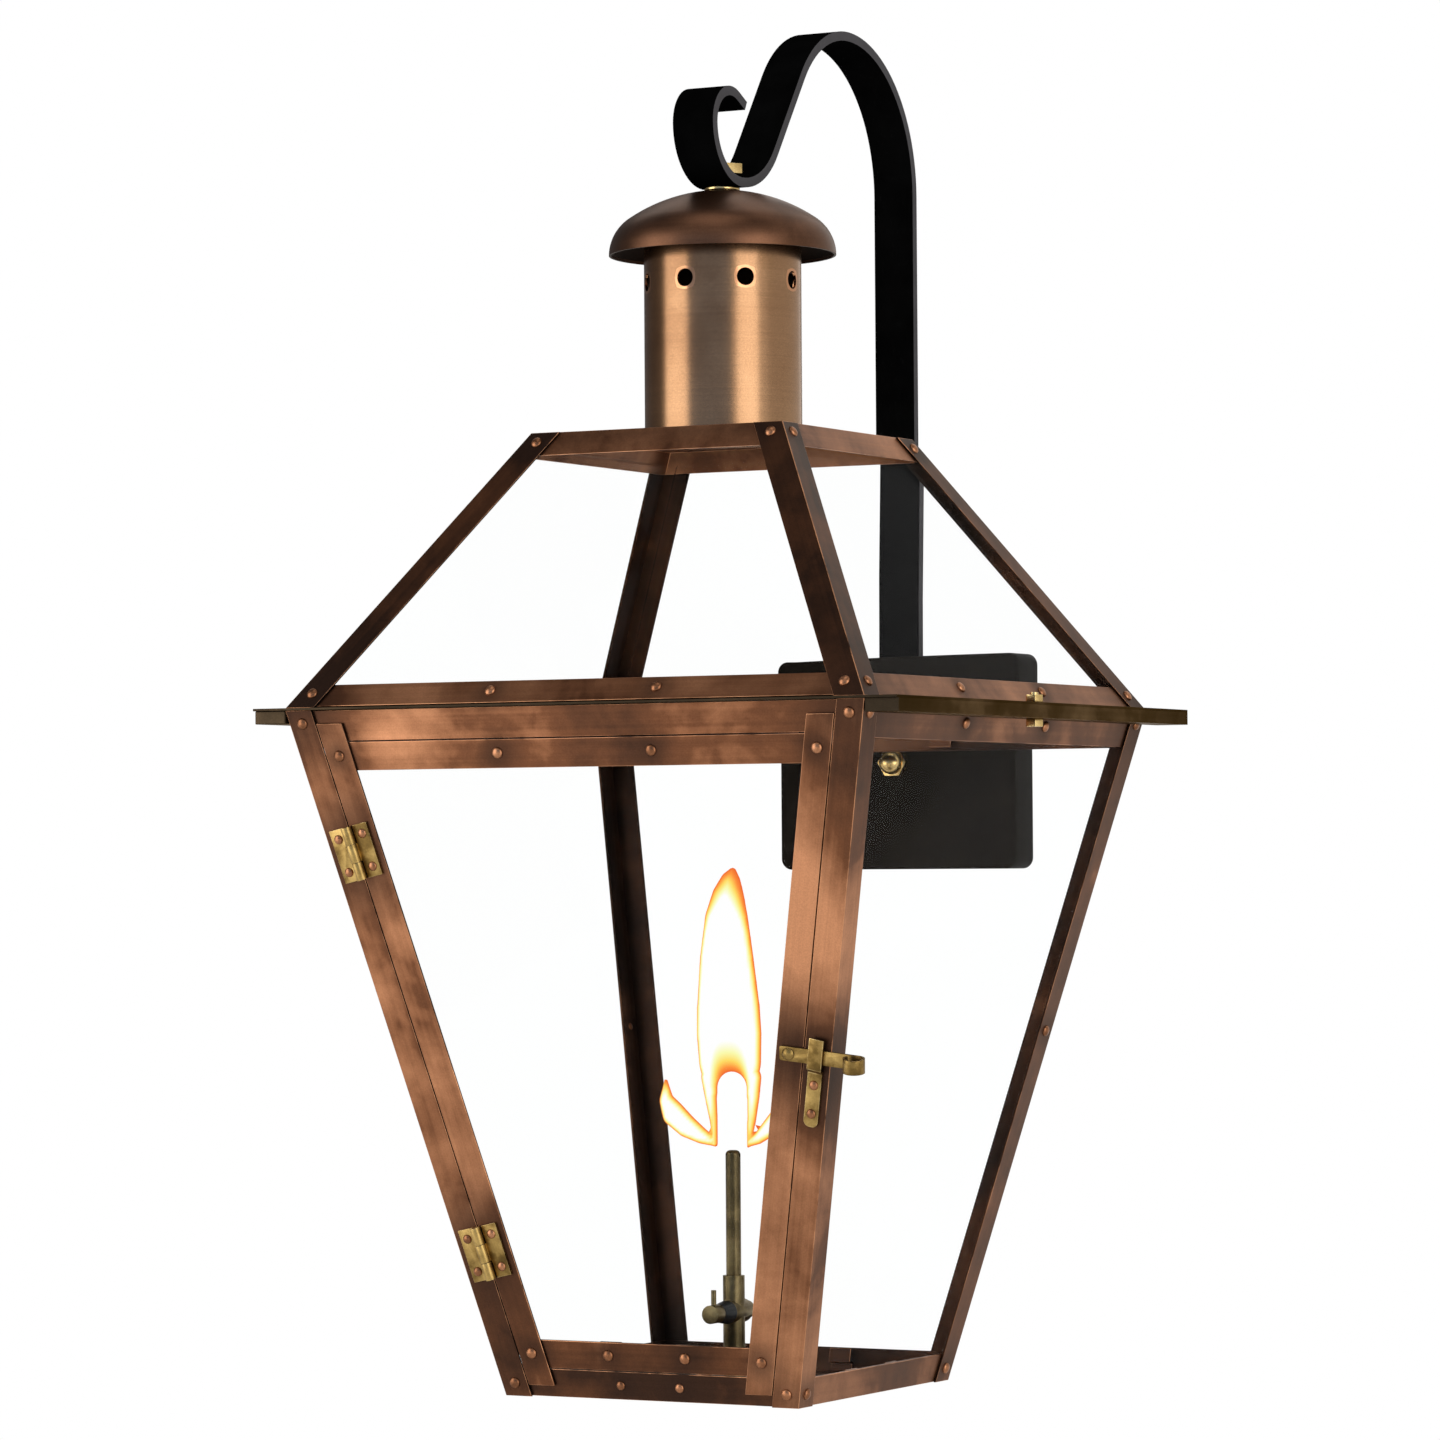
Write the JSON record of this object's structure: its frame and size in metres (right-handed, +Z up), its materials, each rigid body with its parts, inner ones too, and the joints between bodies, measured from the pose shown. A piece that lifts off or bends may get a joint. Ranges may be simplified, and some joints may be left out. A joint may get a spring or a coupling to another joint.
{
  "type": "gas wall lantern",
  "caption": "Tapered copper gas wall lantern with a hinged glass door, glazed hip roof, vented chimney and gas cock, hung from a black flat-bar gooseneck on a wall plate.",
  "frame": {"origin": "middle of the wall bar's back face, on the wall", "axes": "+Y into the wall, so the door faces -Y; +Z up; +X to the right seen from the front"},
  "size_m": [0.3556, 0.375, 0.7055],
  "materials": {
    "frame_copper": "antique brown copper, satin, brushed",
    "chimney_copper": "brushed copper, satin",
    "cap_copper": "dark antique copper, satin",
    "glass": "clear",
    "black_iron": "satin black paint on flat steel",
    "bright_steel": "plated",
    "bright_brass": "polished",
    "aged_brass": "aged, satin",
    "burner_brass": "tarnished",
    "black_gland": "matt black"
  },
  "bodies": {
    "lantern": {"body_glass_back": "glass", "body_glass_left": "glass", "body_glass_right": "glass", "bottom_band_back": "frame_copper", "bottom_band_front": "frame_copper", "bottom_band_left": "frame_copper", "bottom_band_right": "frame_copper", "burner_tube": "burner_brass", "chimney_cap": "cap_copper", "chimney_tube": "chimney_copper", "corner_post_back_left": "frame_copper", "corner_post_back_right": "frame_copper", "corner_post_front_left": "frame_copper", "corner_post_front_right": "frame_copper", "crown_plate": "frame_copper", "eave_plate": "frame_copper", "floor_plate": "frame_copper", "frame_glass_clips": "frame_copper", "gas_cock_body": "burner_brass", "gas_cock_gland": "black_gland", "gas_cock_locknut": "burner_brass", "gooseneck_arm": "black_iron", "hanger_bolt": "bright_brass", "hanger_bridge": "frame_copper", "hanger_fasteners": "bright_brass", "header_back": "frame_copper", "header_front": "frame_copper", "header_left": "frame_copper", "header_right": "frame_copper", "hinge_frame_leaves": "aged_brass", "hinge_pins": "aged_brass", "latch_keeper": "aged_brass", "rail_fasteners": "bright_brass", "roof_eave_band_back": "frame_copper", "roof_eave_band_front": "frame_copper", "roof_eave_band_left": "frame_copper", "roof_eave_band_right": "frame_copper", "roof_glass_back": "glass", "roof_glass_front": "glass", "roof_glass_left": "glass", "roof_glass_right": "glass", "roof_hip_back_left": "frame_copper", "roof_hip_back_right": "frame_copper", "roof_hip_front_left": "frame_copper", "roof_hip_front_right": "frame_copper", "side_rail_left": "frame_copper", "side_rail_right": "frame_copper", "wall_bar": "bright_steel", "wall_plate": "black_iron", "wall_plate_nut": "bright_brass"},
    "door": {"door_stile_left": "frame_copper", "door_stile_right": "frame_copper", "door_top_rail": "frame_copper", "door_bottom_rail": "frame_copper", "door_glass": "glass", "hinge_door_leaves": "aged_brass", "latch_pivot": "aged_brass", "door_glass_clips": "frame_copper"},
    "latch": {"latch_lever": "aged_brass"},
    "gas_cock": {"gas_cock_plug": "burner_brass"}
  },
  "joints": [
    {"name": "door_swing", "type": "hinge", "parent": "lantern", "child": "door", "pos_m": [-0.08356, -0.3142, -0.24561], "axis": [0.2182, 0.2182, -0.9512], "range_deg": [0, 120]},
    {"name": "latch_lift", "type": "hinge", "parent": "door", "child": "latch", "pos_m": [0.09909, -0.33469, -0.144], "axis": [0, -0.9747, -0.2236], "range_deg": [0, 75]},
    {"name": "gas_cock_turn", "type": "hinge", "parent": "lantern", "child": "gas_cock", "pos_m": [0, -0.208, -0.279], "axis": [0, -1, 0], "range_deg": [0, 90]}
  ]
}
